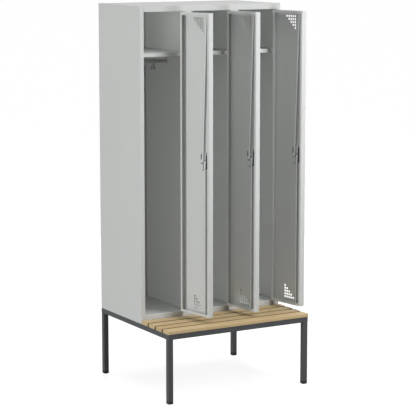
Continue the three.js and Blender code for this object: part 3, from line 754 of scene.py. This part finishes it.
def addBead(shape, line):
    spots = []
    for start, end in zip(line, line[1:]):
        last = end == line[-1]
        start, end = place(*start), place(*end)
        count = max(2, round((end - start).length * 1000 / beads["ripple"]))
        spots += [start.lerp(end, step / count) for step in range(count + last)]
    loops = []
    for index, spot in enumerate(spots):
        before, after = spots[max(index - 1, 0)], spots[min(index + 1, len(spots) - 1)]
        turn = (after - before).normalized().to_track_quat("Z", "Y")
        swing = beads["swing"] * math.sin(index * beads["swingTurn"])
        drift = beads["drift"] * math.sin(index * beads["driftTurn"])
        swell = beads["radius"] / 1000 * (1 + swing + drift)
        if index in (0, len(spots) - 1):
            swell *= beads["endShare"]
        loops.append([shape.verts.new(spot + turn @ Vector((swell * math.cos(a), swell * math.sin(a), 0)))
                      for a in circle(beads["sides"])])
    bridgeAndClose(shape, loops)


def dressWelds():
    shape = bmesh.new()
    for line in beadLines():
        addBead(shape, line)
    finishPiece("weldBeads", shape, "framePaint", "cabinet", smooth=60)


dressSlatScrews()
dressWelds()
print("underframe dressed")

# cabinet: hex bolts down into the underframe, each on a washer
floorBolts = {"across": 10.0, "headHeight": 4.0, "chamferShare": 0.85, "dimple": 2.0,
              "washer": 9.0, "washerThickness": 1.4, "washerShares": ((1.0, 0.0), (1.0, 0.7), (0.96, 1.0)),
              "floor": 391, "columns": (16, 450, 884), "rows": (95, 430), "turn": 0.2}


def dressFloor():
    flats, lift = hexagon(floorBolts["across"]), floorBolts["washerThickness"]
    top = lift + floorBolts["headHeight"]
    rings = profile(floorBolts["washer"], lift, floorBolts["washerShares"]) + [
        (flats, lift), (flats, lift + floorBolts["headHeight"] * floorBolts["chamferShare"]),
        (floorBolts["across"] / 2, top), (floorBolts["dimple"], top)]
    spots = [facing(place(x, y, floorBolts["floor"]), (0, 0, 1), floorBolts["turn"] * x)
             for x in floorBolts["columns"] for y in floorBolts["rows"]]
    scatter("floorBolts", rings, spots, "brightZinc", "cabinet", segments=36, smooth=25)


# raised compartment floors: folded trays that stand on the floor panel and end level with the sill
trays = {"top": 433.0, "bottom": 392.5, "front": 9.0, "shoulder": 33.0, "rear": 492.0, "wallGap": 0.6,
         "stopSide": 9.0, "hingeSide": 1.0, "sheet": 1.0, "bend": 2.0, "bendShare": 0.3}


def insetLoop(shape, corners, inset, height):
    loop = []
    for number, corner in enumerate(corners):
        before = (corner - corners[number - 1]).normalized().orthogonal()
        after = (corners[(number + 1) % len(corners)] - corner).normalized().orthogonal()
        spot = corner + (before + after) * inset
        loop.append(shape.verts.new(place(spot.x, spot.y, height)))
    return loop


def addTray(shape, room, opening):
    left, right = room[0] + trays["wallGap"], room[1] - trays["wallGap"]
    neckLeft, neckRight = opening[0] + trays["stopSide"], opening[1] - trays["hingeSide"]
    front, shoulder, rear = trays["front"], trays["shoulder"], trays["rear"]
    corners = [Vector(corner) for corner in (
        (neckLeft, front), (neckRight, front), (neckRight, shoulder), (right, shoulder),
        (right, rear), (left, rear), (left, shoulder), (neckLeft, shoulder))]
    top, bottom, bend, sheet = trays["top"], trays["bottom"], trays["bend"], trays["sheet"]
    ease = bend * trays["bendShare"]
    bridgeAndClose(shape, [insetLoop(shape, corners, inset, height) for inset, height in (
        (bend, top), (ease, top - ease), (0, top - bend), (0, bottom),
        (sheet, bottom), (sheet, top - bend), (bend, top - sheet))])


def dressTrays():
    for number, room, opening in zip(doorNumbers, rooms, openings):
        shape = bmesh.new()
        addTray(shape, room, opening)
        finishPiece("floorTray_%d" % number, shape, "lockerPaint", "cabinet", smooth=50)


# blind rivets hold the back panel to the rear lips and folds; each shows its mandrel's stub, sunk in
backRivets = {"radius": 3.2, "height": 1.1, "holeShare": 0.34, "stubShare": 0.3, "stubHeight": 0.6,
              "columns": (8.5, 307.0, 606.0, 891.5), "from": 430, "to": 2105, "count": 11}


def dressBack():
    radius, steps = backRivets["radius"], backRivets["count"] - 1
    span = backRivets["to"] - backRivets["from"]
    heights = [backRivets["from"] + span * step / steps for step in range(steps + 1)]
    spots = [facing(place(x, cabinetDepth, z), (0, 1, 0)) for x in backRivets["columns"] for z in heights]
    rings = domeHead(radius, backRivets["height"], backRivets["holeShare"])
    rings.append((radius * backRivets["stubShare"], backRivets["stubHeight"]))
    scatter("backRivets", rings, spots, "brightZinc", "cabinet")


# hinges: plug welds through the fixed plates and the door plates
plugWelds = {"radius": 2.3, "height": 0.45, "plateFace": 1.2, "fromAxis": 10.5, "segments": 16,
             "levels": (590, 1889), "fixedLifts": (10, 60), "doorLifts": (29, 41)}


def dressHinges():
    rings = domeHead(plugWelds["radius"], plugWelds["height"])
    fromHinge = plugWelds["fromAxis"] + leaf["axisInset"] - leaf["hingeGap"]
    fixed = []
    for number in doorNumbers:
        axis = hingeAxes["door_%d" % number]
        fixedX = axis.x + plugWelds["fromAxis"] / 1000
        fixedY = startY - plugWelds["plateFace"] / 1000
        fixed += [facing(Vector((fixedX, fixedY, (level + lift) / 1000)), (0, -1, 0))
                  for level in plugWelds["levels"] for lift in plugWelds["fixedLifts"]]
        outward = doorSide(number, -1)
        moving = [facing(onDoor(number, fromHinge, -plugWelds["plateFace"], level + lift), outward)
                  for level in plugWelds["levels"] for lift in plugWelds["doorLifts"]]
        scatter("doorPlugWelds_%d" % number, rings, moving, "lockerPaint", "door_%d" % number,
                plugWelds["segments"])
    scatter("fixedPlugWelds", rings, fixed, "lockerPaint", "cabinet", plugWelds["segments"])


# compartments: screws in the coat rails' cups and rivets through the shelves' side flanges
railScrews = {"radius": 2.1, "height": 1.2, "railY": 249.975, "railZ": 1825, "cup": 3, "circle": 12.0,
              "angles": (45, 225)}
shelfRivets = {"radius": 2.6, "height": 0.9, "shelfTop": 1887, "drop": 12, "rows": (110, 400), "flange": 1}


def dressRooms():
    screws, rivets = [], []
    for left, right in rooms:
        for wall, inward in ((left, 1), (right, -1)):
            for angle in (math.radians(degrees) for degrees in railScrews["angles"]):
                spot = place(wall + inward * railScrews["cup"],
                             railScrews["railY"] + railScrews["circle"] * math.cos(angle),
                             railScrews["railZ"] + railScrews["circle"] * math.sin(angle))
                screws.append(facing(spot, (inward, 0, 0), angle))
            for row in shelfRivets["rows"]:
                spot = place(wall + inward * shelfRivets["flange"], row,
                             shelfRivets["shelfTop"] - shelfRivets["drop"])
                rivets.append(facing(spot, (inward, 0, 0)))
    scatter("railScrews", panHead(railScrews["radius"], railScrews["height"]), screws, "brightZinc",
            "cabinet")
    scatter("shelfRivets", domeHead(shelfRivets["radius"], shelfRivets["height"]), rivets, "brightZinc",
            "cabinet")


dressFloor()
dressTrays()
dressBack()
dressHinges()
dressRooms()
print("cabinet dressed")

# studio: pale floor, a dim world that is brighter overhead, soft lamps on the left, in front and
# behind, a small fill in the first hat space, and a wash from the left that casts no shadow
studio = {
    "floorSize": 240, "floorColor": (0.3, 0.3, 0.3, 1), "floorGlow": 0.795,
    "skyColor": (0.8, 0.8, 0.8, 1), "ambient": 0.02, "overhead": 5.6, "overheadFocus": 12.0,
    "backdropColor": (1, 1, 1, 1),
    "leftWash": {"from": (-1, 0.6, 0.12), "strength": 0.44},
    "lamps": {
        "leftSoftbox": {"at": (-6.3, -0.8, 1.1), "aim": (0, -0.1, 1.1), "size": (0.9, 3.6), "power": 244},
        "hatSpaceFill": {"at": (-0.36, -0.05, 2.02), "aim": (-0.34, 0.4, 2.02), "size": (0.14, 0.16),
                         "power": 0.19},
        "frontSoftbox": {"at": (0.74, -2.25, 2.15), "aim": (0, -0.1, 1.7), "size": (0.6, 2.2), "power": 57},
        "rearSoftbox": {"at": (1.6, 4.2, 1.9), "aim": (0, 0.2, 1.1), "size": (1.6, 2.6), "power": 120},
    },
}


def makeFloor():
    bpy.ops.mesh.primitive_plane_add(size=studio["floorSize"], location=(0, 0, 0))
    floor = bpy.context.object
    floor.name = "floor"
    material = bpy.data.materials.new("floorPaper")
    material.use_nodes = True
    tree = material.node_tree
    tree.nodes.clear()
    paper = addNode(tree, "ShaderNodeBsdfDiffuse")
    paper.inputs["Color"].default_value = studio["floorColor"]
    glow = addNode(tree, "ShaderNodeEmission")
    seen = addNode(tree, "ShaderNodeLightPath").outputs
    straight = math2(tree, "MAXIMUM", seen["Is Camera Ray"], seen["Is Transmission Ray"])
    wire(tree, times(tree, straight, studio["floorGlow"]), glow.inputs["Strength"])
    both = addNode(tree, "ShaderNodeAddShader")
    wire(tree, paper.outputs[0], both.inputs[0])
    wire(tree, glow.outputs[0], both.inputs[1])
    wire(tree, both.outputs[0], addNode(tree, "ShaderNodeOutputMaterial").inputs["Surface"])
    floor.data.materials.append(material)


def makeWorld():
    world = bpy.data.worlds.new("studioWorld")
    bpy.context.scene.world = world
    world.use_nodes = True
    tree = world.node_tree
    tree.nodes.clear()
    way = separate(tree, addNode(tree, "ShaderNodeTexCoord").outputs["Generated"])
    above = math2(tree, "POWER", math2(tree, "MAXIMUM", way["Z"], 0.0), studio["overheadFocus"])
    sky = addNode(tree, "ShaderNodeBackground")
    sky.inputs["Color"].default_value = studio["skyColor"]
    wire(tree, plus(tree, times(tree, above, studio["overhead"]), studio["ambient"]), sky.inputs["Strength"])
    backdrop = addNode(tree, "ShaderNodeBackground")
    backdrop.inputs["Color"].default_value = studio["backdropColor"]
    seen = addNode(tree, "ShaderNodeLightPath").outputs
    straight = math2(tree, "MAXIMUM", seen["Is Camera Ray"], seen["Is Glossy Ray"])
    straight = math2(tree, "MAXIMUM", straight, seen["Is Transmission Ray"])
    pick = addNode(tree, "ShaderNodeMixShader")
    wire(tree, straight, pick.inputs[0])
    wire(tree, sky.outputs[0], pick.inputs[1])
    wire(tree, backdrop.outputs[0], pick.inputs[2])
    wire(tree, pick.outputs[0], addNode(tree, "ShaderNodeOutputWorld").inputs["Surface"])


def hangLight(name, light, quaternion):
    holder = bpy.data.objects.new(name, light)
    bpy.context.collection.objects.link(holder)
    holder.rotation_mode = "QUATERNION"
    holder.rotation_quaternion = quaternion
    return holder


def makeLamps():
    for name, lamp in studio["lamps"].items():
        light = bpy.data.lights.new(name, "AREA")
        light.shape = "RECTANGLE"
        light.size, light.size_y = lamp["size"]
        light.energy = lamp["power"]
        aim = Vector(lamp["aim"]) - Vector(lamp["at"])
        holder = hangLight(name, light, aim.to_track_quat("-Z", "Y"))
        holder.location = lamp["at"]
        holder.visible_camera = False
        holder.visible_glossy = False


def makeWash():
    wash = bpy.data.lights.new("leftWash", "SUN")
    wash.energy = studio["leftWash"]["strength"]
    wash.use_shadow = False
    hangLight("leftWash", wash, Vector(studio["leftWash"]["from"]).to_track_quat("Z", "Y"))


makeFloor()
makeWorld()
makeLamps()
makeWash()
bpy.context.scene.view_settings.view_transform = "Standard"
print("studio ready")
